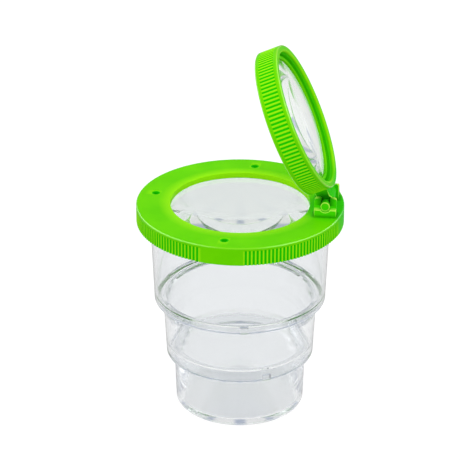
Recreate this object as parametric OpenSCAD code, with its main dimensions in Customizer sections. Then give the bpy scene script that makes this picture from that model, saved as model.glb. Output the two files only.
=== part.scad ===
// Bug catcher jar: a clear cup of three telescoping parts, a push-on lid with a magnifying
// lens in it, and a second lens in a ring that flips up on a hinge.
// The origin is the middle of the base's underside and +Z is up. The hinge is on the +X side.
// A plain radius is an outer one. Heights in a piece's own section are measured from its foot.

/* [Base cup] */
// Radius of the base cup at its foot
base_foot_r = 23.65; // [20:0.05:27]
// How much wider the base cup is at its rim
base_taper = 0.7; // [0.3:0.05:1.5]
// Height of the base cup
base_h = 24.5; // [20:0.1:30]
// Thickness of the base cup's floor
floor_t = 2.2; // [1.5:0.1:3.5]
// Rounding of the foot's outer edge
foot_round = 1.5; // [0.5:0.1:2]

/* [Middle tube] */
// Height of the middle tube
middle_h = 24.2; // [20:0.1:30]
// How much wider the middle tube is at its rim
middle_taper = 1.2; // [0.6:0.05:2]
// Height of the lip that grips the base cup's rim
middle_lip_h = 4; // [2:0.1:6]
// Thickness of that lip
middle_lip_t = 2.8; // [2.4:0.05:3.5]

/* [Upper tube] */
// Height of the upper tube
upper_h = 35.3; // [30:0.1:45]
// How much wider the upper tube is at its neck
upper_taper = 1.2; // [0.6:0.05:2]
// Height of the lip that grips the middle tube's rim
upper_lip_h = 2; // [1.5:0.1:4]
// Thickness of that lip
upper_lip_t = 3.1; // [2.6:0.05:3.6]
// How far the mouth flares out beyond the neck, inside the lid
mouth_flare = 2.65; // [2:0.05:4]

/* [Tube walls] */
// Wall thickness of the three cup parts
wall = 1.8; // [1.4:0.05:2.1]
// Clearance in the wedge between one cup part and the next
wedge_gap = 0.05; // [0.03:0.01:0.09]
// Width of the moulded notches in the lips
notch_w = 2.8; // [1.5:0.1:4]
// Height of the notches
notch_h = 1.9; // [1:0.1:2]

/* [Lid] */
// Height of the lid, from the skirt's edge to the top
lid_h = 6.8; // [6:0.1:9]
// Thickness of the lid's top plate
lid_plate = 2; // [1.5:0.1:2.6]
// Thickness of the lid's skirt
skirt_t = 2.24; // [1.6:0.02:3]
// Clearance between the skirt and the cup's mouth
lid_fit = 0.06; // [0.03:0.01:0.09]
// Radius of the lid's window
window_r = 25.15; // [20:0.05:25.4]
// Rounding of the lid's top edge
lid_round = 0.5; // [0.3:0.1:1.2]
// Diameter of an air hole
vent_d = 2.2; // [1:0.1:3]

/* [Lid lens] */
// How far the lens reaches past the window, under the plate
lens_lap = 2.4; // [1.5:0.1:2.6]
// Thickness of the lens's flange
lens_edge = 1.2; // [1:0.1:2.2]
// Depth of the lens's dome below the flange
lens_sag = 5.5; // [2:0.1:7]
// Height of the ring that holds the lens
keeper_h = 0.8; // [0.6:0.1:3]
// Width of that ring, from its bore to its outer edge
keeper_w = 1.1; // [0.8:0.1:2]
// Wall of the collar round the lens
collar_t = 2; // [1.2:0.1:2.2]

/* [Flip magnifier] */
// Radius of the flip magnifier's ring
loupe_r = 26.6; // [22:0.1:28]
// Thickness of the ring
loupe_t = 8.5; // [7:0.1:10]
// Thickness of the ring's wall round the lens
loupe_wall = 2.4; // [1.8:0.1:3]
// How far the ring's inner ledge and the keeper reach in over the lens's flange
loupe_lap = 2; // [1:0.1:3]
// Depth of the keeper below the ring's outer face
loupe_recess = 2.3; // [0.6:0.1:2.6]
// Wall of the keeper where it stands up inside the ring
loupe_keeper_t = 1.2; // [0.8:0.1:1.6]
// Thickness of the flip lens's flange
loupe_edge = 1.5; // [1:0.1:2]
// Thickness of the flip lens inside its keeper, without the domes
loupe_body = 2.7; // [2:0.1:3.4]
// Height of each of the flip lens's two domes
loupe_sag = 2.8; // [1:0.1:3]
// Angle by which the flip magnifier stands open
open_angle = 66; // [0:1:160]

/* [Hinge] */
// Distance from the magnifier's edge to the hinge axis
hinge_reach = 4.6; // [4.4:0.1:6]
// Height of the hinge axis above the lid
hinge_rise = 3.9; // [3.6:0.1:5]
// Radius of the axle
axle_r = 1.65; // [1.2:0.05:1.8]
// Radial clearance round the axle
axle_gap = 0.07; // [0.03:0.01:0.1]
// Radius of the knuckle on the axle
knuckle_r = 3; // [2.6:0.1:3.2]
// Length of the knuckle
knuckle_len = 10.6; // [8:0.1:12]
// Width of a hinge lug, across the axle
lug_w = 7.9; // [7:0.1:8.2]
// Length of a hinge lug, along the axle
lug_len = 3.9; // [3:0.1:5]
// Height of a hinge lug above the axle
lug_rise = 2.4; // [1.8:0.1:3]

/* [Grip] */
// Angle from one lid groove to the next
lid_pitch = 2.116; // [1.8:0.001:3]
// Angle of each plain stretch between the lid's four runs of grooves
lid_plain = 22; // [10:1:40]
// Number of grooves that would go round the flip magnifier
loupe_grooves = 112; // [80:1:130]
// Angle left plain on each side of the knuckle
loupe_plain = 12; // [8:1:30]
// Radius of a groove
groove_r = 0.55; // [0.3:0.05:0.6]
// Depth of a groove
groove_depth = 0.4; // [0.2:0.02:0.5]
// Height of the plain rims beside the flip magnifier's grooves
loupe_rim = 1.4; // [1:0.1:2]

/* [Hidden] */
$fn = 96;
clear = [0.88, 0.93, 0.92, 0.35];
green = [0.40, 0.84, 0.02];

overrun = 1;             // how far a cut runs past the solid it cuts
edge_round = 0.4;        // rounding of the moulded edges of the cup
inner_round = 1.2;       // rounding between the base cup's floor and its wall
lip_blend = 0.8;         // height over which a lip runs out into the wall above it
shoulder_h = 1.2;        // height of the slope between the neck and the mouth
shoulder_t = 1.5;        // upright thickness of the wall in that slope
shoulder_lift = 0.25;    // clearance between the shoulder's foot and the skirt's edge
arc_steps = 5;           // straight pieces in a rounded edge's profile
seat_gap = 0.02;         // clearance between pieces that sit face to face
press_gap = 0.05;        // clearance round a lens and its keeper
top_gap = 1.05;          // gap between the lid and the closed flip magnifier
side_gap = 0.3;          // gap between the knuckle and each lug
vent_angles = [86, 172, 266];      // where the air holes are, from the hinge
collar_room = 1;         // least room between the lens collar and the neck
vent_rim_w = 0.7;        // width of the shallow countersink round an air hole
vent_rim_depth = 0.15;   // depth of that countersink
lid_turn = -5;           // angle by which the plain stretches are turned from the hinge
middle_notch_turn = 58;  // angle of a notch in the middle tube's lip
upper_notch_turn = 39;   // angle of a notch in the upper tube's lip
notch_count = 3;         // notches in each lip
grip_runs = 4;           // runs of grooves round the lid
lid_rim = 1.1;           // plain height above the lid's grooves
end_wall = 0.9;          // thickness of a lug's low end wall
end_drop = 1.2;          // how far that wall's top lies below the axle's middle
pillar_step = 0.3;       // how far a lug's pillars stand back from that wall
end_notch_gap = 0.45;    // clearance between the axle and the end wall's notch
neck_bite = 0.15;        // how far each side of a lug's slot closes in over the axle
lug_round = 1;           // rounding of a lug's top corners
web_t = 4.6;             // thickness of the web between the knuckle and the ring
keeper_chamfer = 0.3;    // chamfer on the lid keeper's outer edge
keeper_flange_h = 0.55;  // height of the flip keeper's flange on the lens
bead_h = 0.7;            // height of the snap bead that holds the flip keeper
bead_depth = 0.25;       // how far that bead stands in from the ring's bore
bead_lift = 0.35;        // gap between the flip keeper's top and the bead
dome_inset = 0.25;       // how far a dome starts inside its keeper

// Places that follow from the sizes above
middle_z = base_h - middle_lip_h;
upper_z = middle_z + middle_h - upper_lip_h;
rim_z = upper_z + upper_h;
lid_top = rim_z + seat_gap + lid_plate;
skirt_z = lid_top - lid_h;
neck_z = skirt_z + shoulder_lift;

function base_r(z) = base_foot_r + base_taper * z / base_h;
middle_bore = base_r(middle_z) + wedge_gap;
middle_foot_r = middle_bore + middle_lip_t;
function middle_r(z) = middle_foot_r + middle_taper * (z - middle_z) / middle_h;
upper_bore = middle_r(upper_z) + wedge_gap;
upper_foot_r = upper_bore + upper_lip_t;

lens_r = window_r + lens_lap;
keeper_bore = lens_r - keeper_w;
lens_z = lid_top - lid_plate - seat_gap;       // the lid lens's upper face
keeper_z = lens_z - lens_edge - seat_gap;      // the keeper's upper face
collar_bore = lens_r + press_gap;
collar_r = collar_bore + collar_t;
collar_z = keeper_z - keeper_h;

// The neck is wider still where the collar needs the room
neck_r = max(upper_foot_r + upper_taper, collar_r + collar_room + wall);
mouth_r = neck_r + mouth_flare;
skirt_bore = mouth_r + lid_fit;
lid_r = skirt_bore + skirt_t;
vent_circle_r = (collar_r + mouth_r - wall) / 2;

hinge_x = loupe_r + hinge_reach;
hinge_z = lid_top + hinge_rise;
loupe_bore = loupe_r - loupe_wall;
loupe_lens_r = loupe_bore - press_gap;
loupe_window = loupe_bore - loupe_lap;
loupe_keeper_z = loupe_edge / 2 + seat_gap;     // its foot, above the ring's mid-plane
loupe_keeper_top = loupe_t / 2 - loupe_recess;
bead_z = loupe_keeper_top + bead_lift + bead_h / 2;
lug_y = knuckle_len / 2 + side_gap;
axle_len = 2 * (lug_y + lug_len) - end_wall;

// Points on an arc about [x, z] in a profile, from angle a to angle b
function arc(x, z, r, a, b) =
    [for (i = [0 : arc_steps]) let (t = a + (b - a) * i / arc_steps) [x + r * cos(t), z + r * sin(t)]];

// A ball's cap: a dome of base radius r and height h, standing on z = 0
module dome(r, h) {
    ball_r = (r * r + h * h) / (2 * h);
    intersection() {
        translate([0, 0, h - ball_r]) sphere(r = ball_r, $fn = 180);
        cylinder(r = r, h = h + overrun);
    }
}

// A lip's moulded notches, cut from the foot of a tube up
module notches(bore, reach, z, turn) {
    for (i = [0 : notch_count - 1])
        rotate([0, 0, turn + 360 * i / notch_count])
            translate([bore - overrun, -notch_w / 2, z - overrun])
                cube([reach + overrun, notch_w, notch_h + overrun]);
}

// Upright grooves round a circle of radius r, at the given angles
module grooves(r, z, h, angles) {
    for (a = angles)
        rotate([0, 0, a]) translate([r + groove_r - groove_depth, 0, z]) cylinder(r = groove_r, h = h, $fn = 16);
}

module base_cup() {
    rim_r = base_r(base_h);
    color(clear) rotate_extrude() polygon(concat(
        [[0, 0]],
        arc(base_foot_r - foot_round, foot_round, foot_round, -90, 0),
        arc(rim_r - edge_round, base_h - edge_round, edge_round, 0, 90),
        [[rim_r - wall, base_h]],
        arc(base_r(floor_t) - wall - inner_round, floor_t + inner_round, inner_round, 0, -90),
        [[0, floor_t]]));
}

module middle_tube() {
    rim_z = middle_z + middle_h;
    lip_z = middle_z + middle_lip_h;
    color(clear) difference() {
        rotate_extrude() polygon(concat(
            [[middle_bore, middle_z], [middle_foot_r, middle_z]],
            arc(middle_r(rim_z) - edge_round, rim_z - edge_round, edge_round, 0, 90),
            [[middle_r(rim_z) - wall, rim_z],
             [middle_r(lip_z + lip_blend) - wall, lip_z + lip_blend],
             [base_r(lip_z) + wedge_gap, lip_z]]));
        notches(middle_bore, middle_lip_t / 2, middle_z, middle_notch_turn);
    }
}

module upper_tube() {
    lip_z = upper_z + upper_lip_h;
    blend_z = lip_z + lip_blend;
    blend_r = upper_foot_r + (neck_r - upper_foot_r) * (blend_z - upper_z) / (neck_z - upper_z);
    shoulder_rise = shoulder_h / (mouth_r - neck_r);
    color(clear) difference() {
        rotate_extrude() polygon(concat(
            [[upper_bore, upper_z], [upper_foot_r, upper_z], [neck_r, neck_z],
             [mouth_r, neck_z + shoulder_h]],
            arc(mouth_r - edge_round, rim_z - edge_round, edge_round, 0, 90),
            [[mouth_r - wall, rim_z],
             [mouth_r - wall, neck_z + shoulder_t + (mouth_r - wall - neck_r) * shoulder_rise],
             [neck_r - wall, neck_z + shoulder_t - wall * shoulder_rise],
             [blend_r - wall, blend_z], [middle_r(lip_z) + wedge_gap, lip_z]]));
        notches(upper_bore, upper_lip_t / 2, upper_z, upper_notch_turn);
    }
}

// One hinge lug, its inner face on y = 0 and its outer end towards +y, about the axle's line
module lug() {
    foot = hinge_rise + lid_plate / 2;
    slot_w = axle_r + axle_gap - neck_bite;
    pillar_len = lug_len - end_wall;
    intersection() {
        rotate([90, 0, 0]) mirror([0, 0, 1]) linear_extrude(pillar_len) difference() {
            union() {
                translate([-lug_w / 2, -foot]) square([lug_w, foot + lug_rise - lug_round]);
                translate([lug_round - lug_w / 2, 0]) square([lug_w - 2 * lug_round, lug_rise]);
                for (s = [-1, 1]) translate([s * (lug_w / 2 - lug_round), lug_rise - lug_round])
                    circle(r = lug_round);
            }
            circle(r = axle_r + axle_gap);
            translate([-slot_w, 0]) square([2 * slot_w, lug_rise + overrun]);
        }
        rotate([90, 0, 90]) translate([0, 0, -lug_w / 2]) linear_extrude(lug_w)
            polygon(concat([[0, -foot], [pillar_len, -foot], [pillar_len, -end_drop]],
                [for (p = arc(0, 0, 1, 0, 90)) [p[0] * (pillar_len - pillar_step), p[1] * (lug_rise + end_drop) - end_drop]]));
    }
    rotate([90, 0, 0]) mirror([0, 0, 1]) translate([0, 0, pillar_len]) linear_extrude(end_wall) difference() {
        translate([-lug_w / 2, -foot]) square([lug_w, foot - end_drop]);
        circle(r = axle_r + end_notch_gap);
    }
}

module lid_ring() {
    run = 360 / grip_runs - lid_plain;
    count = floor(run / lid_pitch);
    angles = [for (g = [0 : grip_runs - 1], i = [0 : count])
        lid_turn + 360 * g / grip_runs + (360 / grip_runs - count * lid_pitch) / 2 + i * lid_pitch];
    color(green) difference() {
        union() {
            rotate_extrude() polygon(concat(
                [[window_r, lens_z + seat_gap]],
                [[window_r, lid_top]],
                arc(lid_r - lid_round, lid_top - lid_round, lid_round, 90, 0),
                [[lid_r, skirt_z], [skirt_bore, skirt_z], [skirt_bore, lid_top - lid_plate],
                 [collar_r, lid_top - lid_plate], [collar_r, collar_z], [collar_bore, collar_z],
                 [collar_bore, lens_z + seat_gap]]));
            for (s = [0, 1]) translate([hinge_x, 0, hinge_z]) mirror([0, s, 0]) translate([0, lug_y, 0]) lug();
        }
        grooves(lid_r, skirt_z - overrun, lid_h - lid_rim + overrun, angles);
        for (a = vent_angles) rotate([0, 0, a]) translate([vent_circle_r, 0, 0]) {
            translate([0, 0, lid_top - lid_plate - overrun]) cylinder(d = vent_d, h = lid_plate + 2 * overrun);
            translate([0, 0, lid_top - vent_rim_depth])
                cylinder(d = vent_d + 2 * vent_rim_w, h = vent_rim_depth + overrun);
        }
    }
}

module lid_lens() {
    color(clear) translate([0, 0, lens_z - lens_edge]) {
        cylinder(r = lens_r, h = lens_edge);
        mirror([0, 0, 1]) dome(keeper_bore - dome_inset, lens_sag);
    }
}

module lid_lens_keeper() {
    color(green) rotate_extrude() polygon([
        [keeper_bore, collar_z], [lens_r - keeper_chamfer, collar_z], [lens_r, collar_z + keeper_chamfer],
        [lens_r, keeper_z], [keeper_bore, keeper_z]]);
}

// Places a piece that is drawn lying on its ring's mid-plane, closed, at its open place
module flipped() {
    translate([hinge_x, 0, hinge_z]) rotate([0, open_angle, 0])
        translate([-hinge_x, 0, top_gap + loupe_t / 2 - hinge_rise]) children();
}

module loupe_ring() {
    rim_in = edge_round;
    pin_x = hinge_x;
    pin_z = hinge_rise - top_gap - loupe_t / 2;
    step = 360 / loupe_grooves;
    first = ceil(loupe_plain / step);
    angles = [for (i = [first : loupe_grooves - first]) i * step];
    band = loupe_t - 2 * loupe_rim;
    color(green) flipped() difference() {
        union() {
            rotate_extrude() polygon(concat(
                [[loupe_window, -loupe_t / 2]],
                arc(loupe_r - rim_in, rim_in - loupe_t / 2, rim_in, -90, 0),
                arc(loupe_r - rim_in, loupe_t / 2 - rim_in, rim_in, 0, 90),
                [[loupe_bore, loupe_t / 2], [loupe_bore, bead_z + bead_h / 2],
                 [loupe_bore - bead_depth, bead_z], [loupe_bore, bead_z - bead_h / 2],
                 [loupe_bore, -loupe_edge / 2 - seat_gap],
                 [loupe_window, -loupe_edge / 2 - seat_gap]]));
            translate([pin_x, 0, pin_z]) rotate([90, 0, 0]) {
                cylinder(r = knuckle_r, h = knuckle_len, center = true);
                cylinder(r = axle_r, h = axle_len, center = true);
            }
            translate([loupe_r - loupe_wall / 2, -knuckle_len / 2, pin_z - web_t / 2])
                cube([hinge_reach + loupe_wall / 2, knuckle_len, web_t]);
        }
        grooves(loupe_r, -band / 2, band, angles);
    }
}

module loupe_lens() {
    color(clear) flipped() {
        translate([0, 0, -loupe_edge / 2]) cylinder(r = loupe_lens_r, h = loupe_edge);
        translate([0, 0, -loupe_body / 2]) cylinder(r = loupe_window - dome_inset, h = loupe_body);
        for (s = [0, 1]) mirror([0, 0, s]) translate([0, 0, loupe_body / 2])
            dome(loupe_window - dome_inset, loupe_sag);
    }
}

module loupe_lens_keeper() {
    stand_r = loupe_window + loupe_keeper_t;
    color(green) flipped() rotate_extrude() polygon([
        [loupe_window, loupe_keeper_z], [loupe_lens_r, loupe_keeper_z],
        [loupe_lens_r, loupe_keeper_z + keeper_flange_h], [stand_r, loupe_keeper_z + keeper_flange_h],
        [stand_r, loupe_keeper_top], [loupe_window, loupe_keeper_top]]);
}

base_cup();
middle_tube();
upper_tube();
lid_ring();
lid_lens();
lid_lens_keeper();
loupe_ring();
loupe_lens();
loupe_lens_keeper();
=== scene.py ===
import bmesh
import bpy
import math
import numpy as np
from mathutils import Matrix, Quaternion, Vector


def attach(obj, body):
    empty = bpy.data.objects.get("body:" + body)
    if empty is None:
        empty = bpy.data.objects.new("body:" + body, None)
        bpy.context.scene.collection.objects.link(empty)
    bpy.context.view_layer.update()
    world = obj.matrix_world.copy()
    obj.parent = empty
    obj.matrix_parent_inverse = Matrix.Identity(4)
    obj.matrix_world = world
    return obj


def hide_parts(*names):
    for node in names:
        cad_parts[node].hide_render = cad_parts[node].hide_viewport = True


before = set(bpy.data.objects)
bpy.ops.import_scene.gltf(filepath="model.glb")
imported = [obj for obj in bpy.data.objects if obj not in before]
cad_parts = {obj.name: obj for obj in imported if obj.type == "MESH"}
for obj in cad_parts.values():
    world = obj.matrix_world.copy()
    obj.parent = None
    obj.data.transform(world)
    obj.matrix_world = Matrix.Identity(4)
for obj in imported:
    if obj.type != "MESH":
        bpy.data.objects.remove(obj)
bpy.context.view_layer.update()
mm = 0.001
samePoint, noLength = 1e-8, 1e-9  # metres: closer points are one, and a shorter edge is none
print("frame loaded:", len(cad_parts), "nodes")

# The camera stands where the photograph was taken from, and nothing is shifted.
view = dict(
    aim=(0, 0, 80.02),  # middle of the lid's top
    distance=785.9,
    azimuth=6.0,  # degrees from straight in front, towards the hinge
    elevation=25.43,
    roll=0.18,
    lens=170.8,
    sensor=36.0,
    near=0.01, far=50,  # metres
    frameSize=460,
    aimPixel=(240.1, 201.7),  # where the lid's middle is in the picture
)


# With azimuth a and elevation e, it is at aim + distance * (sin a cos e, -cos a cos e, sin e).
# It looks back at the aim, turned by the small angles that bring the aim to its pixel.
def makeCamera(v):
    data = bpy.data.cameras.new("photoCamera")
    data.lens = v["lens"]
    data.sensor_width = v["sensor"]
    data.sensor_fit = "HORIZONTAL"
    data.clip_start, data.clip_end = v["near"], v["far"]
    camera = bpy.data.objects.new("photoCamera", data)
    bpy.context.scene.collection.objects.link(camera)
    turn, rise = math.radians(v["azimuth"]), math.radians(v["elevation"])
    level = math.cos(rise)
    away = Vector((math.sin(turn) * level, -math.cos(turn) * level, math.sin(rise)))
    aim = Vector(v["aim"]) * mm
    camera.location = aim + away * v["distance"] * mm
    pixels = v["lens"] / v["sensor"] * v["frameSize"]
    yaw, pitch = (math.atan((pixel - v["frameSize"] / 2) / pixels) for pixel in v["aimPixel"])
    look = (-away).to_track_quat("-Z", "Y")
    look = look @ Quaternion((0, 1, 0), yaw) @ Quaternion((1, 0, 0), pitch)
    camera.rotation_mode = "QUATERNION"
    camera.rotation_quaternion = look @ Quaternion((0, 0, 1), math.radians(v["roll"]))
    bpy.context.scene.camera = camera


makeCamera(view)
print("camera set")


# Points on an arc about (r, z) from angle a to angle b in degrees, both ends included.
def arc(r, z, radius, a, b, steps=8):
    t = np.radians(np.linspace(a, b, steps + 1))
    return np.c_[r + radius * np.cos(t), z + radius * np.sin(t)]


# The angles of a whole circle, in even steps.
def fullTurn(steps):
    return np.linspace(0, 2 * np.pi, steps, endpoint=False)


# The way round from each angle to the nearest of the middles, in radians.
def nearest(angles, middles):
    return np.min(np.abs((angles[..., None] - middles + np.pi) % (2 * np.pi) - np.pi), -1)


# Rounds the corners of an outline: each is replaced by a short curve, the quadratic
# (1-t)^2 A + 2t(1-t) P + t^2 B. A and B lie on the corner's two sides, short of their middles.
def softened(points, radius, steps=4, closed=True, most=0.49):
    points = np.asarray(points, float)
    count = len(points)
    radii = np.broadcast_to(radius, count)
    t = np.linspace(0, 1, steps + 1)[:, None]
    out = []
    for i in range(count):
        p = points[i]
        if radii[i] <= 0 or (not closed and i in (0, count - 1)):
            out.append(p[None])
            continue
        toBefore, toAfter = points[i - 1] - p, points[(i + 1) % count] - p
        lengthBefore, lengthAfter = np.linalg.norm(toBefore), np.linalg.norm(toAfter)
        reach = min(radii[i], most * lengthBefore, most * lengthAfter)
        a, b = p + toBefore / lengthBefore * reach, p + toAfter / lengthAfter * reach
        out.append((1 - t) ** 2 * a + 2 * t * (1 - t) * p + t ** 2 * b)
    return np.vstack(out)


# A piece from points in millimetres and their faces, with its normals outward. Welding also takes
# away the faces that have shrunk to nothing.
def polygonMesh(name, points, faces, weld=True):
    mesh = bpy.data.meshes.new(name)
    mesh.from_pydata((points * mm).tolist(), [], faces)
    work = bmesh.new()
    work.from_mesh(mesh)
    if weld:
        bmesh.ops.remove_doubles(work, verts=work.verts, dist=samePoint)
        bmesh.ops.dissolve_degenerate(work, edges=work.edges, dist=noLength)
    bmesh.ops.recalc_face_normals(work, faces=work.faces)
    work.to_mesh(mesh)
    work.free()
    piece = bpy.data.objects.new(name, mesh)
    bpy.context.scene.collection.objects.link(piece)
    return piece


# A piece from a grid of points (rows, columns, 3) in millimetres. The columns close round, and the
# rows do too where closeRows says so.
def gridMesh(name, grid, closeRows):
    rows, columns = grid.shape[:2]
    index = np.arange(rows * columns).reshape(rows, columns)
    bands = rows if closeRows else rows - 1
    i, j = np.meshgrid(np.arange(bands), np.arange(columns), indexing="ij")
    iNext, jNext = (i + 1) % rows, (j + 1) % columns
    quads = np.stack([index[i, j], index[i, jNext], index[iNext, jNext], index[iNext, j]], -1)
    return polygonMesh(name, grid.reshape(-1, 3), quads.reshape(-1, 4).tolist())


# Turns a profile of (r, z) points about the Z axis. shrink(profile, angles) says how much comes off
# the radius, so a grooved or notched ring is the same surface with its radius changed.
def lathe(name, profile, angles, closed, shrink=None):
    r, z = profile[:, 0][:, None], profile[:, 1][:, None]
    t = np.asarray(angles)[None, :]
    radius = r + 0 * t
    if shrink is not None:
        radius = radius - shrink(profile, t)
    grid = np.stack([radius * np.cos(t), radius * np.sin(t), z + 0 * t], -1)
    return gridMesh(name, grid, closed)


# Carries a closed outline of (x, z) points along Y from low to high, with flat ends.
def prism(name, outline, low, high):
    count = len(outline)
    ends = [np.c_[outline[:, 0], np.full(count, y), outline[:, 1]] for y in (low, high)]
    i = np.arange(count)
    sides = np.c_[i, (i + 1) % count, (i + 1) % count + count, i + count].tolist()
    caps = [i[::-1].tolist(), (i + count).tolist()]
    return polygonMesh(name, np.vstack(ends), sides + caps, weld=False)


# Makes the mesh that the modifiers give the piece's own.
def applyModifiers(piece):
    depsgraph = bpy.context.evaluated_depsgraph_get()
    mesh = bpy.data.meshes.new_from_object(piece.evaluated_get(depsgraph))
    piece.modifiers.clear()
    old = piece.data
    piece.data = mesh
    bpy.data.meshes.remove(old)
    mesh.name = piece.name
    return piece


# Rounds the edges that turn by more than the angle in degrees, over a width in millimetres.
def bevelled(piece, width, segments=2, angle=40):
    modifier = piece.modifiers.new("bevel", "BEVEL")
    modifier.width = width * mm
    modifier.segments = segments
    modifier.limit_method = "ANGLE"
    modifier.angle_limit = math.radians(angle)
    return applyModifiers(piece)


# Joins the others to the piece, or cuts them out of it, one after the other.
def combined(piece, others, operation):
    for other in others:
        modifier = piece.modifiers.new("cut", "BOOLEAN")
        modifier.object = other
        modifier.operation = operation
        modifier.solver = "EXACT"
        applyModifiers(piece)
        bpy.data.objects.remove(other)


# Smooth shading that breaks where two faces turn by more than the angle in degrees.
def smoothed(piece, angle=35):
    mesh = piece.data
    mesh.polygons.foreach_set("use_smooth", np.ones(len(mesh.polygons), bool))
    mesh.set_sharp_from_angle(angle=math.radians(angle))


# The places of a piece's points, in millimetres.
def readPoints(piece):
    points = np.empty(len(piece.data.vertices) * 3, np.float32)
    piece.data.vertices.foreach_get("co", points)
    return points.reshape(-1, 3).astype(float) / mm


# Writes a mark for each point, or raises the one that is there.
def writeMark(piece, name, value):
    kept = piece.data.attributes.get(name)
    if kept is None:
        kept = piece.data.attributes.new(name, "FLOAT", "POINT")
    else:
        old = np.empty(len(value), np.float32)
        kept.data.foreach_get("value", old)
        value = np.maximum(value, old)
    kept.data.foreach_set("value", value.astype(np.float32))


# The flip magnifier is drawn closed, with its mid-plane at z = 0. This turns it to its open place:
# (away, up) from the axle becomes (away cos a + up sin a, up cos a - away sin a).
def flipOpen(piece):
    x, z = hinge["x"], hinge["z"]
    turn = math.radians(hinge["openAngle"])
    points = readPoints(piece)
    away = points[:, 0] - x
    up = points[:, 2] + loupe["closedLift"]
    moved = np.c_[x + away * math.cos(turn) + up * math.sin(turn), points[:, 1],
                  z - away * math.sin(turn) + up * math.cos(turn)]
    piece.data.vertices.foreach_set("co", (moved * mm).astype(np.float32).ravel())
    piece.data.update()


def metres(values):
    return [value * mm for value in values]


def newMaterial(name):
    material = bpy.data.materials.new(name)
    material.use_nodes = True
    return material, material.node_tree, material.node_tree.nodes["Principled BSDF"]


# Feeds a node's inputs, by name or number: a socket is linked, and anything else is set there.
def feed(tree, node, sources):
    for name, source in sources.items():
        if isinstance(source, bpy.types.NodeSocket):
            tree.links.new(source, node.inputs[name])
        else:
            node.inputs[name].default_value = source


# A new node with its settings made and its inputs fed. What comes back are its outputs.
def addNode(tree, kind, sources, **settings):
    node = tree.nodes.new("ShaderNode" + kind)
    for name, value in settings.items():
        setattr(node, name, value)
    feed(tree, node, sources)
    return node.outputs


def addMath(tree, operation, *sources, kind="Math", output="Value"):
    return addNode(tree, kind, dict(enumerate(sources)), operation=operation)[output]


# Maps one range onto another: source[0] becomes target[0] and source[1] becomes target[1], with a
# smooth or an even course between them and nothing beyond.
def addRange(tree, value, source, target=(0, 1), course="SMOOTHSTEP"):
    ends = {"From Min": source[0], "From Max": source[1], "To Min": target[0], "To Max": target[1]}
    return addNode(tree, "MapRange", {"Value": value, **ends}, interpolation_type=course)["Result"]


# A mix of two colours, each a socket or (red, green, blue). They are inputs 6 and 7 of the node.
def addMix(tree, amount, first, second):
    first, second = ((*end, 1) if isinstance(end, tuple) else end for end in (first, second))
    return addNode(tree, "Mix", {0: amount, 6: first, 7: second}, data_type="RGBA")[2]


# One of the marks that the pieces carry, from 0 to 1.
def addMark(tree, name):
    return addNode(tree, "Attribute", {}, attribute_name=name)["Fac"]


# What every moulded plastic shares. The inputs are only starting values; each plastic has its own.
mouldedSkin = dict(
    inputs={"Grain Scale": 900.0, "Cloud Scale": 60.0, "Base Roughness": 0.3,
            "Roughness Spread": 0.1, "Scuff Amount": 0.2},
    cloudDetail=3, grainDetail=2, scuffDetail=6, plainNoise=0.5, scuffNoise=0.7,
    scuffStretch=(1, 1, 7),  # so that the scuffs run level
    scuffLine=(0.62, 0.72),  # where in the noise a scuff begins and is full
    scuffRoughness=0.35,
)


# Moulded skin: cloudy flow marks, a fine orange peel and faint scuffs.
# Roughness = base + spread * cloud + scuff roughness * scuff amount * scuff.
def makeSkinGroup(s):
    tree = bpy.data.node_groups.new("mouldedSkin", "ShaderNodeTree")
    sockets = tree.interface
    for name, value in s["inputs"].items():
        socket = sockets.new_socket(name, in_out="INPUT", socket_type="NodeSocketFloat")
        socket.default_value = value
    for name in ("Tone", "Roughness", "Height"):
        sockets.new_socket(name, in_out="OUTPUT", socket_type="NodeSocketFloat")
    given, put = tree.nodes.new("NodeGroupInput").outputs, tree.nodes.new("NodeGroupOutput")
    place = addNode(tree, "TexCoord", {})["Object"]
    level = addNode(tree, "Mapping", {"Vector": place, "Scale": s["scuffStretch"]})["Vector"]

    def noise(where, scale, detail, roughness):
        return addNode(tree, "TexNoise", {"Vector": where, "Scale": given[scale], "Detail": detail,
                                          "Roughness": roughness})["Fac"]
    cloud = noise(place, "Cloud Scale", s["cloudDetail"], s["plainNoise"])
    grain = noise(place, "Grain Scale", s["grainDetail"], s["plainNoise"])
    scuff = noise(level, "Cloud Scale", s["scuffDetail"], s["scuffNoise"])
    line = addRange(tree, scuff, s["scuffLine"], course="LINEAR")
    marked = addMath(tree, "MULTIPLY", line, given["Scuff Amount"])
    plain, extra = given["Base Roughness"], given["Roughness Spread"]
    spread = addMath(tree, "MULTIPLY_ADD", cloud, extra, plain)
    rough = addMath(tree, "MULTIPLY_ADD", marked, s["scuffRoughness"], spread)
    feed(tree, put, {"Tone": cloud, "Roughness": rough, "Height": grain})
    return tree


skinGroup = makeSkinGroup(mouldedSkin)


def addSkin(tree, values):
    return addNode(tree, "Group", values, node_tree=skinGroup)


# A bump on the shader's own normal. The distance is in millimetres.
def addBump(tree, height, shader, strength, distance):
    sources = {"Strength": strength, "Distance": distance * mm, "Height": height}
    feed(tree, shader, {"Normal": addNode(tree, "Bump", sources)["Normal"]})


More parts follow.
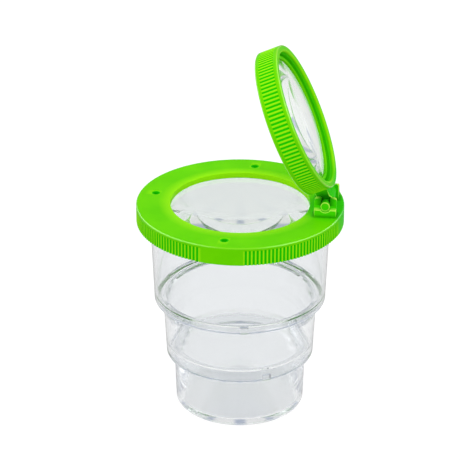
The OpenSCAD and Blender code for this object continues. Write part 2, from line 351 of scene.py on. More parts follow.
greenPlastic = dict(
    dark=(0.13, 0.70, 0.0012),
    light=(0.17, 0.76, 0.0014),
    cloudy=(0.3, 0.7),  # where in the clouds it is dark and light
    deepShade=(0.015, 0.66, 0.001),  # painted shade down in the grooves, the air holes and the recesses
    paintedHighlight=(0.33, 0.9, 0.006),  # painted highlight along the ridges between them, and on rounded rims, steps and the window's wall
    edge=(0.56, 0.97, 0.1),  # painted highlight along the small outward edges
    paintedShadow=(0.002, 0.14, 0.0008),  # painted shade in the slots of the hinge and round the lugs' feet
    grooveShadeSpan=(0.12, 0.62),  # where the painted shade of the grooves begins and is full
    hingeShadeAt=(33.0, 0, 82.0), hingeShadeReach=(6.5, 16.0), hingeShade=0.85,  # painted shade: the deeper green round the hinge
    # the painted shadow round the lugs' feet, and the boxes that it runs round
    lugFootShadow=0.45, lugFootShadowReach=1.4, lugsMiddle=(31.2, 0, 79.6), lugsApart=(0, 7.5, 0),
    lugHalf=(3.95, 1.95, 0.5),
    ior=1.5, shineLevel=0.02, shine=(0.3, 0.95, 0.06), coatRoughness=0.2,
    skin={"Grain Scale": 1400, "Cloud Scale": 90, "Base Roughness": 0.26,
          "Roughness Spread": 0.14, "Scuff Amount": 0.15},
    grain=(0.12, 0.05),  # strength and distance of the bump
)


def makeGreen(s):
    material, tree, shader = newMaterial("limeGreenPlastic")
    skin = addSkin(tree, s["skin"])
    ramp = tree.nodes.new("ShaderNodeValToRGB")
    feed(tree, ramp, {"Fac": skin["Tone"]})
    for stop, position, tone in zip(ramp.color_ramp.elements, s["cloudy"], ("dark", "light")):
        stop.position = position
        stop.color = (*s[tone], 1)
    sunk = addRange(tree, addMark(tree, "groove"), s["grooveShadeSpan"])
    # painted shade round the hinge: a deeper green near it, as where green faces green
    place = addNode(tree, "TexCoord", {})["Object"]
    away = addMath(tree, "DISTANCE", place, metres(s["hingeShadeAt"]), kind="VectorMath")
    hingeShade = addRange(tree, away, metres(s["hingeShadeReach"]), (s["hingeShade"], 0))
    deepest = addMath(tree, "MAXIMUM", sunk, hingeShade)
    # a thin painted shadow runs round the foot of each lug: a point p lies outside the lug's box by
    # the length of max(||p - middle| - apart| - half, 0), where apart only counts along Y, for two
    # lugs
    beyond = place
    for operation, *values in (("SUBTRACT", s["lugsMiddle"]), ("ABSOLUTE",),
                               ("SUBTRACT", s["lugsApart"]), ("ABSOLUTE",),
                               ("SUBTRACT", s["lugHalf"]), ("MAXIMUM", (0, 0, 0))):
        beyond = addMath(tree, operation, beyond, *map(metres, values), kind="VectorMath",
                         output="Vector")
    outside = addMath(tree, "LENGTH", beyond, kind="VectorMath")
    lugFootShadow = addRange(tree, outside, (0, s["lugFootShadowReach"] * mm), (s["lugFootShadow"], 0))
    # painted highlights on the ridges and small edges over the plastic's own tone, and painted
    # shade in the grooves, round the hinge, round the lugs' feet and in the slots
    colour = ramp.outputs["Color"]
    for amount, target in ((addMark(tree, "paintedHighlight"), "paintedHighlight"), (deepest, "deepShade"), (lugFootShadow, "paintedShadow"),
                           (addMark(tree, "edge"), "edge"), (addMark(tree, "shade"), "paintedShadow")):
        colour = addMix(tree, amount, colour, s[target])
    feed(tree, shader, {
        "Base Color": colour, "Roughness": skin["Roughness"], "IOR": s["ior"],
        "Specular IOR Level": s["shineLevel"], "Specular Tint": (*s["shine"], 1),
        "Coat Weight": addMark(tree, "polish"), "Coat Roughness": s["coatRoughness"]})
    addBump(tree, skin["Height"], shader, *s["grain"])
    return material


# The shade is what each keeps of a lamp's light that goes through it.
clearPlastic = dict(
    cup=dict(name="clearCupPlastic", colour=(0.868, 0.88, 0.89), ior=1.57, shade=(0.93, 0.94, 0.94),
             skin={"Grain Scale": 300, "Cloud Scale": 45, "Base Roughness": 0.0,
                   "Roughness Spread": 0.05, "Scuff Amount": 0.12},
             grain=(0.25, 0.02)),
    lens=dict(name="clearLensPlastic", colour=(0.855, 0.89, 0.865), ior=1.49,
              shade=(0.94, 0.95, 0.95),
              skin={"Grain Scale": 120, "Cloud Scale": 30, "Base Roughness": 0.0,
                    "Roughness Spread": 0.015, "Scuff Amount": 0.05},
              grain=(0.1, 0.01)),
)


# Clear plastic. Lamps shine on through it, tinted, as they do through thin clear walls.
def makeClear(s):
    material, tree, shader = newMaterial(s["name"])
    skin = addSkin(tree, s["skin"])
    feed(tree, shader, {"Base Color": (*s["colour"], 1), "Transmission Weight": 1, "IOR": s["ior"],
                        "Roughness": skin["Roughness"]})
    addBump(tree, skin["Height"], shader, *s["grain"])
    shadow = addNode(tree, "LightPath", {})["Is Shadow Ray"]
    through = addNode(tree, "BsdfTransparent", {"Color": (*s["shade"], 1)})["BSDF"]
    both = addNode(tree, "MixShader", {0: shadow, 1: shader.outputs["BSDF"], 2: through})["Shader"]
    feed(tree, tree.nodes["Material Output"], {"Surface": both})
    return material


limeGreen = makeGreen(greenPlastic)
cupClear = makeClear(clearPlastic["cup"])
lensClear = makeClear(clearPlastic["lens"])
print("materials made")

marks = dict(
    slack=0.05, hair=0.01,  # millimetres: how far from a surface a point still counts as on it
    bend=12, largeFace=2.5,  # degrees, square millimetres
    ridgeFrom=0.5, ridgeFull=0.8, ridgeEnd=1.3,  # in half widths of a groove, from its middle
    deepest=1.3,  # in depths of a groove, below the rim
)


# Keeps how deep each point lies below radius r, from 0 to 1, for the painted shade in the grooves,
# and where the ridges between them are, for their painted highlight.
def markGrooves(piece, s, middles, low, high):
    m = marks
    x, y, z = readPoints(piece).T
    sunk = (s["r"] - np.hypot(x, y)) / s["grooveDepth"]
    off = nearest(np.arctan2(y, x), middles) * s["r"] / s["grooveHalf"]
    rise = (off - m["ridgeFrom"]) / (m["ridgeFull"] - m["ridgeFrom"])
    # a painted highlight on the ridges beside each groove
    beside = np.clip(rise, 0, 1) * (off < m["ridgeEnd"])
    outside = (sunk > m["deepest"]) | (z < low) | (z > high)
    for name, value in (("groove", sunk), ("paintedHighlight", beside)):
        value[outside] = 0
        writeMark(piece, name, np.clip(value, 0, 1))


# Paints a highlight on the outward edges inside a region: the points in the middle of a small
# bevel, where two faces meet at more than the bend and no large face reaches.
def paintEdgeHighlights(piece, inside):
    bend, largeFace = math.radians(marks["bend"]), marks["largeFace"] * mm * mm
    work = bmesh.new()
    work.from_mesh(piece.data)
    value = np.zeros(len(work.verts))
    for edge in work.edges:
        if len(edge.link_faces) == 2 and edge.is_convex and edge.calc_face_angle() > bend:
            for vert in edge.verts:
                if max(face.calc_area() for face in vert.link_faces) < largeFace:
                    value[vert.index] = 1
    work.free()
    print("edge points lit:", piece.name, int(value[inside].sum()))
    writeMark(piece, "edge", value * inside)


def finishPiece(piece, material, body, node, angle=35):
    piece.data.materials.clear()
    piece.data.materials.append(material)
    smoothed(piece, angle)
    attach(piece, body)
    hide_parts(node)
    print("piece made:", piece.name, len(piece.data.polygons), "faces")


# What the three telescoping tubes of the clear cup share.
cup = dict(
    wall=1.8, wedgeGap=0.05, edgeRound=0.4, innerEdge=0.2, turns=360,
    lipChamfer=0.1, lipRound=0.15, lipBlend=0.8,
    lipLead=(0.15, 0.05),  # the lip's bore opens this far, out and up, at its top
    notchW=2.8, notchH=1.9, notchCount=3,
    notchColumns=(0.3, 1.0, 1.02),  # in half widths from a notch's middle
)
columnDigits, columnSlack = 6, 1e-5  # the angles of columns are rounded, in radians


# A notch takes the inner half of the lip away from its foot up to notchH, over the notch's width.
def notchCut(bore, foot, thickness, turn):
    c = cup
    half = c["notchW"] / 2 / bore
    middles = np.radians(turn + 360 * np.arange(c["notchCount"]) / c["notchCount"])

    def shrink(profile, t):
        across = nearest(t, middles) < half + columnSlack
        r, z = profile[:, 0][:, None], profile[:, 1][:, None]
        low = (z < foot + c["notchH"] + marks["hair"]) & (r < bore + thickness / 4)
        return -np.where(across & low, thickness / 2, 0)
    sides = [m + s * half * k for m in middles for s in (-1, 1) for k in c["notchColumns"]]
    columns = np.r_[fullTurn(c["turns"]), np.mod(sides, 2 * np.pi)]
    return shrink, np.unique(np.round(columns, columnDigits))


# The foot of a lip: a small chamfer inside and a rounding outside.
def lipFoot(bore, foot, thickness):
    chamfer, corner = cup["lipChamfer"], cup["lipRound"]
    return np.vstack([[[bore, foot + chamfer], [bore + chamfer, foot]],
                      arc(bore + thickness - corner, foot + corner, corner, -90, 0, steps=3)])


# The bore of a lip, a wedge gap outside the tube in it, from the lip's top down to its notches.
def lipBore(tubeInside, s):
    lip, notchTop, gap = s["z"] + s["lipH"], s["z"] + cup["notchH"], cup["wedgeGap"]
    out, up = cup["lipLead"]
    return [[tubeInside(lip) + gap + out, lip + up], [tubeInside(lip) + gap, lip - s["lipDrop"]],
            [tubeInside(notchTop) + gap, notchTop + s["notchStep"]],
            [tubeInside(notchTop) + gap, notchTop]]


# The rim of a tube of outer radius r with its top at z, rounded outside and, less, inside.
def tubeRim(r, z):
    outer, inner = cup["edgeRound"], cup["innerEdge"]
    return np.vstack([arc(r - outer, z - outer, outer, 0, 90, steps=5),
                      arc(r - cup["wall"] + inner, z - inner, inner, 90, 180, steps=3)])


base = dict(footR=23.65, taper=0.7, h=24.5, floorT=2.2, footRound=1.5, innerRound=1.2)
middle = dict(
    z=20.5, h=24.2, taper=1.2, lipH=4, lipT=2.8, lipDrop=0.1, notchTurn=58, notchStep=0.04,
)
upper = dict(
    z=42.7, taper=1.2, lipH=2, lipT=3.1, lipDrop=0.04, notchTurn=39, notchStep=0.03,
    neckZ=73.47, mouthFlare=2.65, rimZ=78.0, shoulderH=1.2, shoulderT=1.5, footStep=0.2,
    innerBends=(0, 0.6, 0.6, 0), outerBends=(0, 0.5, 0.3, 0),
)


# Outer radius of the base at height z: it grows evenly with the height.
def baseR(z):
    return base["footR"] + base["taper"] * z / base["h"]


# Outer radius of the middle tube at height z, from the lip that stands on the base's wall.
def middleR(z):
    foot = baseR(middle["z"]) + cup["wedgeGap"] + middle["lipT"]
    return foot + middle["taper"] * (z - middle["z"]) / middle["h"]


# The outline runs from the middle of the underside round the foot, up the outside, over the rim,
# down the inside and back to the middle along the floor.
def makeBase():
    c, s = cup, base
    foot, corner, floorT = s["footRound"], s["innerRound"], s["floorT"]
    profile = np.vstack([
        [[0, 0]],
        arc(s["footR"] - foot, foot, foot, -90, 0),
        tubeRim(baseR(s["h"]), s["h"]),
        arc(baseR(floorT) - c["wall"] - corner, floorT + corner, corner, 0, -90),
        [[0, floorT]]])
    piece = lathe("baseCup", profile, fullTurn(c["turns"]), False)
    finishPiece(piece, cupClear, "base", "base_cup")


# The outline runs round the lip's foot, up the outside, over the rim, down the inside and down the
# lip's bore.
def makeMiddle():
    c, s = cup, middle
    foot, bore = s["z"], baseR(s["z"]) + c["wedgeGap"]
    rimZ, blend = foot + s["h"], foot + s["lipH"] + c["lipBlend"]
    shrink, angles = notchCut(bore, foot, s["lipT"], s["notchTurn"])
    profile = np.vstack([
        lipFoot(bore, foot, s["lipT"]),
        tubeRim(middleR(rimZ), rimZ),
        [[middleR(blend) - c["wall"], blend]],
        lipBore(baseR, s)])
    piece = lathe("middleTube", profile, angles, True, shrink)
    finishPiece(piece, cupClear, "middle", "middle_tube")


# As the middle tube, but its wall turns out over a shoulder to the mouth that the lid goes on.
def makeUpper():
    c, s = cup, upper
    foot, bore, wall = s["z"], middleR(s["z"]) + c["wedgeGap"], c["wall"]
    blend = foot + s["lipH"] + c["lipBlend"]
    footR = bore + s["lipT"]
    neck = footR + s["taper"]
    mouth = neck + s["mouthFlare"]
    slope = s["shoulderH"] / s["mouthFlare"]
    blendR = footR + s["taper"] * (blend - foot) / (s["neckZ"] - foot)
    shrink, angles = notchCut(bore, foot, s["lipT"], s["notchTurn"])
    corner, shoulder = c["edgeRound"], s["neckZ"] + s["shoulderT"]
    outer = softened([
        [footR, foot + s["footStep"]], [neck, s["neckZ"]], [mouth, s["neckZ"] + s["shoulderH"]],
        [mouth, s["rimZ"] - corner]], s["outerBends"], closed=False)
    inner = softened([
        [mouth - wall, s["rimZ"]], [mouth - wall, shoulder + (s["mouthFlare"] - wall) * slope],
        [neck - wall, shoulder - wall * slope], [blendR - wall, blend]],
        s["innerBends"], closed=False)
    profile = np.vstack([
        lipFoot(bore, foot, s["lipT"])[:-1],
        outer,
        arc(mouth - corner, s["rimZ"] - corner, corner, 0, 90, steps=5)[1:],
        inner,
        lipBore(middleR, s)])
    piece = lathe("upperTube", profile, angles, True, shrink)
    finishPiece(piece, cupClear, "upper", "upper_tube")


makeBase()
makeMiddle()
makeUpper()

# The hinge: two open lugs on the lid, and the axle that lies in them.
hinge = dict(
    x=31.2, z=83.92, openAngle=66, sideGap=0.3, lugsWithin=12, cutPast=1,
    axleR=1.65, axleGap=0.07, axleLength=18.1, axleRound=0.35,
    knuckleR=3, knuckleLength=10.6, knuckleRound=0.3, webT=4.6, webRound=0.3,
    lugW=7.9, lugLength=3.9, lugRise=2.4, lugRound=1.0, lugBevel=0.35, neckBite=0.15,
    pillarStep=0.3, pillarBevel=0.25, pillarSteps=12,
    endWall=0.9, endTop=-1.2, endGap=0.45, endLap=0.02,
)

lid = dict(
    r=37.487, top=80.02, h=6.8, plate=2.0, round=0.5, flatEnd=2.0, windowR=25.15, windowRound=0.2,
    skirtBore=35.247, skirtChamfer=0.2, skirtChamferOut=0.15,
    collarR=29.6, collarBore=27.6, collarZ=75.98, rim=1.1,
    pitch=2.116, plain=26.3, runs=4, turn=-4.2,
    grooveHalf=0.62, grooveDepth=0.42, grooveFade=0.25, grooveReach=0.6,
    ventR=31.49, ventAngles=(86, 172, 266), ventD=2.2, ventRimW=0.7, ventRimDepth=0.15,
    # how strong its painted shade and highlight marks are
    ventShade=0.9, ventLight=0.6, slotShade=0.7, rimLight=0.35, windowLight=0.9,
)


# Depth of the grooves at angles t: depth * (1 + cos(pi s / half)) / 2 within half a groove's width
# of its middle, where s is the way along the rim, so the ridges are rounded too.
def grooveDepths(s, middles, t):
    off = nearest(t, middles) * s["r"] / s["grooveHalf"]
    return s["grooveDepth"] * (1 + np.cos(np.pi * np.minimum(off, 1))) / 2


# Angles of the mesh columns: nine across each groove, both its sides included, and even steps in
# degrees where the rim is plain.
def grooveColumns(s, middles, across=9, plainStep=1.5, clear=1.2):
    half = s["grooveHalf"] / s["r"]
    grooved = (middles[:, None] + np.linspace(-1, 1, across) * half).ravel()
    plain = np.radians(np.arange(0, 360, plainStep))
    plain = plain[nearest(plain, middles) > half * clear]
    return np.unique(np.round(np.mod(np.r_[grooved, plain], 2 * np.pi), columnDigits))


# A rim's grooves. They fade out evenly up to the height called end, and where both is set so they
# do down to -end.
def groovedRim(s, middles, end, both=False):
    def shrink(profile, t):
        r, z = profile[:, 0][:, None], profile[:, 1][:, None]
        height = np.abs(z) if both else z
        fade = np.clip((end - height) / s["grooveFade"], 0, 1) * (r > s["r"] - s["grooveReach"])
        return grooveDepths(s, middles, t) * fade
    return shrink


# A lug of the hinge, from two outlines of (x, z) about the axle, each carried along Y: a saddle
# with an open round bore next to the knuckle, and a low wall with a half-round notch at its far
# end.
def makeLug(side):
    h = hinge
    foot = h["z"] - lid["top"] + lid["plate"] / 2
    near = h["knuckleLength"] / 2 + h["sideGap"]
    far = near + h["lugLength"]
    wall = far - h["endWall"]
    half, rise, low, corner = h["lugW"] / 2, h["lugRise"], h["endTop"], h["lugRound"]
    bore = h["axleR"] + h["axleGap"]
    slot = bore - h["neckBite"]
    neckAngle = math.degrees(math.acos(slot / bore))
    saddle = np.vstack([
        [[-half, -foot], [half, -foot]],
        arc(half - corner, rise - corner, corner, 0, 90, steps=6),
        [[slot, rise]],
        arc(0, 0, bore, neckAngle, -180 - neckAngle, steps=24),
        [[-slot, rise]],
        arc(corner - half, rise - corner, corner, 90, 180, steps=6)])
    notch = h["axleR"] + h["endGap"]
    dip = math.degrees(math.asin(low / notch))
    end = np.vstack([[[-half, -foot], [half, -foot], [half, low]],
                     arc(0, 0, notch, dip, -180 - dip, steps=18), [[-half, low]]])

    def carried(name, outline, start, stop):
        span = sorted((side * start, side * stop))
        return bevelled(prism(name, outline + [h["x"], h["z"]], *span), h["lugBevel"], segments=4)
    body = carried("lugBody", saddle, near, wall)
    # the pillars lean back towards the knuckle: a quarter of an ellipse, seen along X
    length, over = h["lugLength"] - h["endWall"] - h["pillarStep"], rise + h["cutPast"]
    t = np.linspace(0, np.pi / 2, h["pillarSteps"] + 1)
    past = length + h["cutPast"]
    lean = np.vstack([np.c_[length * np.cos(t), low + (rise - low) * np.sin(t)],
                      [[0, over], [past, over], [past, low]]])
    cutter = prism("lean", lean, -half - h["cutPast"], half + h["cutPast"])
    cutter.data.transform(Matrix.Translation(metres((h["x"], side * near, h["z"])))
                          @ Matrix.Rotation(side * math.pi / 2, 4, "Z"))
    combined(body, [cutter], "DIFFERENCE")
    bevelled(body, h["pillarBevel"], segments=4, angle=50)
    return [body, carried("lugEnd", end, wall - h["endLap"], far)]


# A plain round rod about (x, y), from low to high along Z.
def disc(name, r, low, high, x=0, y=0, steps=40):
    profile = np.array([[0, low], [r, low], [r, high], [0, high]])
    piece = lathe(name, profile, fullTurn(steps), False)
    piece.data.transform(Matrix.Translation(metres((x, y, 0))))
    return piece


def ventPlaces(s):
    angles = np.radians(s["ventAngles"])
    return [(s["ventR"] * math.cos(a), s["ventR"] * math.sin(a)) for a in angles]


# The lid's painted light and shade: highlights on the lugs' edges, shade in their slots and in the
# air holes, and highlights along the step round each hole, the rounding of the top and the window's
# wall.
def markLid(piece, s):
    slack, hair, h = marks["slack"], marks["hair"], hinge
    x, y, z = readPoints(piece).T
    out, side, above = np.hypot(x, y), np.abs(y), z - s["top"]
    lugs = (x > h["x"] - h["lugW"] / 2 - 2 * slack) & (above > hair) & (side < h["lugsWithin"])
    paintEdgeHighlights(piece, lugs)
    hole, step = s["ventD"] / 2, s["ventD"] / 2 + s["ventRimW"]
    # painted shade inside each air hole, and a painted highlight along the step round it
    for ventX, ventY in ventPlaces(s):
        away = np.hypot(x - ventX, y - ventY)
        inside = (away < hole + slack) & (above < -2 * slack)
        writeMark(piece, "groove", inside * s["ventShade"])
        writeMark(piece, "paintedHighlight", (np.abs(away - step) < slack) * s["ventLight"])
    # painted shade in the axle's slot between the lugs
    slot = (np.abs(x - h["x"]) < h["axleR"] + 3 * slack) & (z > h["z"])
    slot = slot & lugs & (side < h["axleLength"] / 2 + slack)
    writeMark(piece, "shade", slot * s["slotShade"])
    # painted highlight on the top's rounding and on the window's wall
    low, under = slack - s["round"], above < -hair
    rounding = (out > s["r"] + low) & (above > low) & under
    writeMark(piece, "paintedHighlight", rounding * s["rimLight"])
    writeMark(piece, "polish", rounding)
    window = out < s["windowR"] + s["windowRound"] + slack
    writeMark(piece, "paintedHighlight", window * s["windowLight"])
    writeMark(piece, "paintedHighlight", window & (above > hair - s["windowRound"]) & under)


# The outline runs up the window's wall, out along the top, over the rounding, down the skirt and up
# its bore, and in under the plate, round the collar.
def makeLid():
    s = lid
    run = 360 / s["runs"] - s["plain"]
    count = int(run / s["pitch"])
    first = (360 / s["runs"] - count * s["pitch"]) / 2
    middles = np.radians([s["turn"] + 360 * g / s["runs"] + first + i * s["pitch"]
                          for g in range(s["runs"]) for i in range(count + 1)])
    r, top, under, skirtZ = s["r"], s["top"], s["top"] - s["plate"], s["top"] - s["h"]
    grooveTop, corner, lip = top - s["rim"], s["round"], s["windowRound"]
    bore, chamfer = s["skirtBore"], s["skirtChamfer"]
    profile = np.vstack([
        [[s["windowR"], under]],
        arc(s["windowR"] + lip, top - lip, lip, 180, 90, steps=4),
        [[s["collarR"], top], [r - s["flatEnd"], top]],
        arc(r - corner, top - corner, corner, 90, 0),
        [[r, grooveTop], [r, grooveTop - s["grooveFade"]], [r, skirtZ + chamfer],
         [r - s["skirtChamferOut"], skirtZ], [bore + chamfer, skirtZ], [bore, skirtZ + chamfer],
         [bore, under], [s["collarR"], under], [s["collarR"], s["collarZ"]],
         [s["collarBore"], s["collarZ"]], [s["collarBore"], under]]])
    piece = lathe("lidRing", profile, grooveColumns(s, middles), True,
                  groovedRim(s, middles, grooveTop))
    combined(piece, makeLug(1) + makeLug(-1), "UNION")
    hole, past = s["ventD"] / 2, hinge["cutPast"]
    holes = []
    for x, y in ventPlaces(s):
        holes += [disc("vent", hole, under - past, top + past, x, y),
                  disc("ventRim", hole + s["ventRimW"], top - s["ventRimDepth"], top + past, x, y)]
    combined(piece, holes, "DIFFERENCE")
    markGrooves(piece, s, middles, skirtZ - marks["slack"], grooveTop - 2 * marks["slack"])
    markLid(piece, s)
    finishPiece(piece, limeGreen, "lid", "lid_ring", angle=30)


lidLens = dict(r=27.55, top=78.0, edge=1.2, chamfer=0.1, domeR=26.2, sag=5.5, turns=256, rings=24)
lidKeeper = dict(bore=26.45, z=76.78, h=0.8, chamfer=0.3, bends=(0.25, 0.1, 0.1, 0, 0))


# A ball's cap over radius r and height h: z = sqrt(R^2 - x^2) - (R - h), R = (r^2 + h^2) / 2h.
def capProfile(r, h, rings):
    ball = (r * r + h * h) / (2 * h)
    x = r * np.sin(np.linspace(0, np.pi / 2, rings + 1))
    return np.c_[x, np.sqrt(ball ** 2 - x ** 2) - (ball - h)]


# A flat top, an edge and a cap that bulges down into the cup.
def makeLidLens():
    s = lidLens
    cap = capProfile(s["domeR"], s["sag"], s["rings"])
    r, top, low, chamfer = s["r"], s["top"], s["top"] - s["edge"], s["chamfer"]
    profile = np.vstack([
        np.c_[cap[:, 0], low - cap[:, 1]],
        [[r - chamfer, low], [r, low + chamfer], [r, top - chamfer], [r - chamfer, top],
         [s["domeR"], top], [0, top]]])
    piece = lathe("lidLens", profile, fullTurn(s["turns"]), False)
    finishPiece(piece, lensClear, "lid", "lid_lens", angle=20)


# A flat ring below z, with its lower outer edge cut back.
def makeLidKeeper():
    r, s = lidLens["r"], lidKeeper
    bore, h, chamfer = s["bore"], s["h"], s["chamfer"]
    outline = [[bore, -h], [r - chamfer, -h], [r, chamfer - h], [r, 0], [bore, 0]]
    profile = softened(outline, s["bends"]) + [0, s["z"]]
    piece = lathe("lidLensKeeper", profile, fullTurn(lidLens["turns"]), True)
    finishPiece(piece, limeGreen, "lid", "lid_lens_keeper")


makeLid()
makeLidLens()
makeLidKeeper()

loupe = dict(
    r=26.6, t=8.5, bore=24.2, window=22.2, windowRound=0.4, round=0.5, faceRound=0.7, rim=1.4,
    beadZ=2.65, beadH=0.7, beadD=0.25, seatGap=0.02, boreStep=0.1, boreBends=(0, 0.2, 0.2, 0.1, 0),
    grooves=112, plain=12, grooveHalf=0.62, grooveDepth=0.42, grooveFade=0.15, grooveReach=0.3,
    closedLift=1.4,  # of the mid-plane above the axle when closed
    beyond=0.4,  # the knuckle, the axle and their web are at least this far outside the ring
    # how strong its painted shade and highlight marks are, and how far the painted recess shade
    # reaches above the bead
    recessShade=0.42, recessOver=0.2, endShade=0.8, rimLight=0.7,
)
loupeLens = dict(r=24.15, edge=1.5, chamfer=0.1, body=2.7, bodyR=21.95, bodyChamfer=0.05, sag=2.8,
                 turns=256, rings=20)
loupeKeeper = dict(
    h=1.18, lap=0.55, r=23.4, shadeReach=0.3, bends=(0.05, 0.05, 0.15, 0.1, 0.2, 0.3),
)


# The loupe ring's painted light and shade: shade in the recess that the keeper sits in and on the
# knuckle's ends, and highlights along the outward edges, the corners of the rim and the rounding of
# the face.
def markLoupe(piece, s, ledge):
    slack, hair, half = marks["slack"], marks["hair"], s["t"] / 2
    x, y, z = readPoints(piece).T
    out, flat = np.hypot(x, y), half - hair
    # painted shade in the recess above the lens's ledge
    recess = (out < s["bore"] + hair) & (z > ledge - hair)
    recess = recess & (z < s["beadZ"] + s["beadH"] / 2 + s["recessOver"])
    writeMark(piece, "groove", recess * s["recessShade"])
    beyond = out > s["r"] + s["beyond"]
    paintEdgeHighlights(piece, beyond)
    # painted shade on the knuckle's ends, inside the lugs
    ends = beyond & (np.abs(np.abs(y) - hinge["knuckleLength"] / 2) < 2 * hair)
    writeMark(piece, "shade", ends * s["endShade"])
    # painted highlight on the rim's corners and the face's rounding
    corner = (np.abs(z) > half - s["round"] + slack) & (np.abs(z) < flat)
    corner = corner & (out > s["r"] - s["round"])
    face = (z > half - s["faceRound"] + slack) & (z < flat) & (out < s["bore"] + s["faceRound"])
    writeMark(piece, "paintedHighlight", (corner | face) * s["rimLight"])
    writeMark(piece, "polish", corner)


# The outline runs out along the underside, up the grooved rim, in over the face, down the bore past
# the snap bead and in along the ledge that the lens lies on.
def makeLoupeRing():
    s, h = loupe, hinge
    step = 2 * np.pi / s["grooves"]
    first = math.ceil(math.radians(s["plain"]) / step)
    middles = np.arange(first, s["grooves"] - first + 1) * step
    r, half, band, fade = s["r"], s["t"] / 2, s["t"] / 2 - s["rim"], s["grooveFade"]
    bore, ledge = s["bore"], -loupeLens["edge"] / 2 - s["seatGap"]
    corner, faceRound, lip = s["round"], s["faceRound"], s["windowRound"]
    bead = [[bore, half - faceRound - s["boreStep"]], [bore, s["beadZ"] + s["beadH"] / 2],
            [bore - s["beadD"], s["beadZ"]], [bore, s["beadZ"] - s["beadH"] / 2], [bore, ledge]]
    profile = np.vstack([
        arc(s["window"] + lip, lip - half, lip, 180, 270, steps=4),
        arc(r - corner, corner - half, corner, -90, 0, steps=6),
        [[r, -band], [r, fade - band], [r, band - fade], [r, band]],
        arc(r - corner, half - corner, corner, 0, 90, steps=6),
        arc(bore + faceRound, half - faceRound, faceRound, 90, 180, steps=6),
        softened(bead, s["boreBends"], closed=False)[1:],
        [[s["window"], ledge]]])
    piece = lathe("loupeRing", profile, grooveColumns(s, middles), True,
                  groovedRim(s, middles, band, both=True))
    axleZ, end = -s["closedLift"], h["knuckleLength"] / 2
    knuckle = disc("knuckle", h["knuckleR"], -end, end, steps=48)
    axle = disc("axle", h["axleR"], -h["axleLength"] / 2, h["axleLength"] / 2, steps=48)
    bevelled(knuckle, h["knuckleRound"], segments=4)
    bevelled(axle, h["axleRound"], segments=4)
    for rod in (knuckle, axle):
        rod.data.transform(Matrix.Translation(metres((h["x"], 0, axleZ)))
                           @ Matrix.Rotation(math.pi / 2, 4, "X"))
    inner, thick = r - (r - bore) / 2, h["webT"] / 2
    outline = np.array([[inner, -thick], [h["x"], -thick], [h["x"], thick], [inner, thick]])
    web = bevelled(prism("web", outline + [0, axleZ], -end, end), h["webRound"])
    combined(piece, [web, knuckle, axle], "UNION")
    grooved = band - 2 * marks["slack"]
    markGrooves(piece, s, middles, -grooved, grooved)
    markLoupe(piece, s, ledge)
    flipOpen(piece)
    finishPiece(piece, limeGreen, "magnifier", "loupe_ring", angle=30)


# The same cap above and below a short round body, with a thin flange round its middle.
def makeLoupeLens():
    s = loupeLens
    r, half, body, chamfer = s["r"], s["edge"] / 2, s["body"] / 2, s["chamfer"]
    bodyR, foot = s["bodyR"], s["body"] / 2 - s["bodyChamfer"]
    cap = capProfile(bodyR - s["bodyChamfer"], s["sag"], s["rings"])
    profile = np.vstack([
        np.c_[cap[:, 0], -cap[:, 1] - body],
        [[bodyR, -foot], [bodyR, -half],
         [r - chamfer, -half], [r, chamfer - half], [r, half - chamfer], [r - chamfer, half],
         [bodyR, half], [bodyR, foot]],
        np.c_[cap[:, 0], cap[:, 1] + body][::-1]])
    piece = lathe("loupeLens", profile, fullTurn(s["turns"]), False)
    flipOpen(piece)
    finishPiece(piece, lensClear, "magnifier", "loupe_lens", angle=20)


# A flat ring on the lens's flange with a step round its outside, which the snap bead holds.
def makeLoupeKeeper():
    s, lens, bore = loupeKeeper, loupeLens, loupe["window"]
    foot = lens["edge"] / 2 + loupe["seatGap"]
    lap, top = foot + s["lap"], foot + s["h"]
    outline = [[bore, foot], [lens["r"], foot], [lens["r"], lap], [s["r"], lap], [s["r"], top],
               [bore, top]]
    piece = lathe("loupeLensKeeper", softened(outline, s["bends"]), fullTurn(lens["turns"]), True)
    # painted shade round the keeper's outer step, where it sits in the ring's recess
    x, y, z = readPoints(piece).T
    shaded = (np.hypot(x, y) > s["r"] - s["shadeReach"]) & (z > foot)
    writeMark(piece, "groove", shaded * loupe["recessShade"])
    flipOpen(piece)
    finishPiece(piece, limeGreen, "magnifier", "loupe_lens_keeper")


makeLoupeRing()
makeLoupeLens()
makeLoupeKeeper()

# A white floor, a white world behind it and soft lamps above. The glow of the floor and the world
# has one strength for each kind of ray that meets it.
studio = dict(
    floorSize=6.0,  # metres
    floorDrop=0.05,  # millimetres below the foot, so that the two never share a plane
    floorColour=(0.2, 0.2, 0.2), floorRoughness=0.9,
    floorGlow=dict(other=0.3, Glossy=0.2, Transmission=0.87, Camera=0.85),
    worldRise=(0.05, 0.35),  # how high the low part of the world ends and the high part starts
    worldLow=dict(other=0.9, Glossy=0.4, Transmission=1.2, Camera=1.0),
    worldHigh=dict(other=0.9, Glossy=0.15, Transmission=0.9, Camera=1.0),
    # darker cards stand round the object, and only show through something clear
    cards=14, cardEdge=(-0.9, -0.1), cardColour=(0.55, 0.6, 0.72),
    cardSeen=dict(other=0, Glossy=0, Transmission=1, Camera=0),
    # bright sheets high on the left and right, which only shine off surfaces
    sheetAside=(0.3, 0.55), sheetUp=(0.2, 0.4),
    sheetGlow=dict(other=0, Glossy=4.0, Transmission=0, Camera=0),
    lamps=(  # metres and watts
        dict(name="keyLamp", at=(-1.0, -1.7, 1.6), size=1.0, power=7),
        dict(name="sideLamp", at=(1.5, -0.8, 1.6), size=0.8, power=6),
    ),
    lampAim=(0, 0, 0.08),
    bounces=96, shadowBounces=32,  # light passes through many clear walls and lips
)


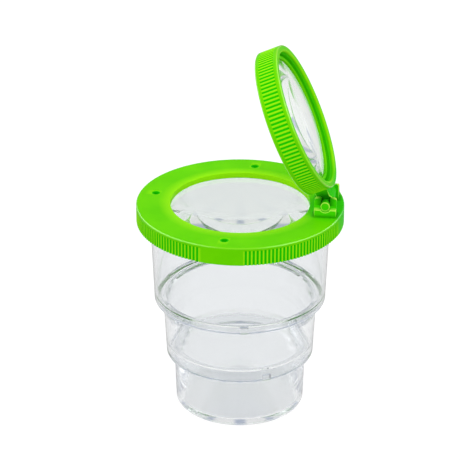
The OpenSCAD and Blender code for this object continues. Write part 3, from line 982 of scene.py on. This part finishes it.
# A number that depends on the kind of ray that meets the floor or the world. Light that has come
# through something clear counts as Glossy too, so the later kinds go before the earlier ones.
def byRayKind(tree, values):
    path = addNode(tree, "LightPath", {})
    result = values["other"]
    for kind in ("Glossy", "Transmission", "Camera"):
        sources = {0: path[f"Is {kind} Ray"], 2: result, 3: values[kind]}
        result = addNode(tree, "Mix", sources, data_type="FLOAT")[0]
    return result


def makeFloor(s):
    half = s["floorSize"] / 2 / mm
    corners = [[-half, -half], [half, -half], [half, half], [-half, half]]
    floor = polygonMesh("floor", np.c_[corners, np.full(4, -s["floorDrop"])], [[0, 1, 2, 3]])
    material, tree, shader = newMaterial("whiteFloor")
    feed(tree, shader, {"Base Color": (*s["floorColour"], 1), "Roughness": s["floorRoughness"],
                        "Emission Color": (1, 1, 1, 1),
                        "Emission Strength": byRayKind(tree, s["floorGlow"])})
    floor.data.materials.append(material)


# The strength goes from low to high with the height of the ray, and the sheets add to it. A card is
# where the sine of so many turns of the ray's direction round Z is low.
def makeWorld(s):
    world = bpy.data.worlds.new("studioWorld")
    bpy.context.scene.world = world
    world.use_nodes = True
    tree = world.node_tree
    place = addNode(tree, "TexCoord", {})["Generated"]
    way = addNode(tree, "SeparateXYZ", {"Vector": place})
    ends = [byRayKind(tree, s[part]) for part in ("worldLow", "worldHigh")]
    sky = addRange(tree, way["Z"], s["worldRise"], ends, course="LINEAR")

    turns = addMath(tree, "MULTIPLY", addMath(tree, "ARCTAN2", way["Y"], way["X"]), s["cards"])
    card = addRange(tree, addMath(tree, "SINE", turns), s["cardEdge"], (1, 0))
    seen = addMath(tree, "MULTIPLY", card, byRayKind(tree, s["cardSeen"]))

    aside = addRange(tree, addMath(tree, "ABSOLUTE", way["X"]), s["sheetAside"])
    sheet = addMath(tree, "MULTIPLY", aside, addRange(tree, way["Z"], s["sheetUp"]))
    strength = addMath(tree, "MULTIPLY_ADD", sheet, byRayKind(tree, s["sheetGlow"]), sky)
    colour = addMix(tree, seen, (1, 1, 1), s["cardColour"])
    feed(tree, tree.nodes["Background"], {"Color": colour, "Strength": strength})


def makeLamps(s):
    for lamp in s["lamps"]:
        data = bpy.data.lights.new(lamp["name"], "AREA")
        data.shape = "SQUARE"
        data.size = lamp["size"]
        data.energy = lamp["power"]
        light = bpy.data.objects.new(lamp["name"], data)
        bpy.context.scene.collection.objects.link(light)
        light.location = lamp["at"]
        aim = Vector(s["lampAim"]) - light.location
        light.rotation_mode = "QUATERNION"
        light.rotation_quaternion = aim.to_track_quat("-Z", "Y")


makeFloor(studio)
makeWorld(studio)
makeLamps(studio)
print("studio made:", len(studio["lamps"]), "lamps")

scene = bpy.context.scene
scene.view_settings.view_transform = "Standard"
scene.cycles.max_bounces = studio["bounces"]
scene.cycles.glossy_bounces = studio["bounces"]
scene.cycles.transmission_bounces = studio["bounces"]
scene.cycles.transparent_max_bounces = studio["shadowBounces"]
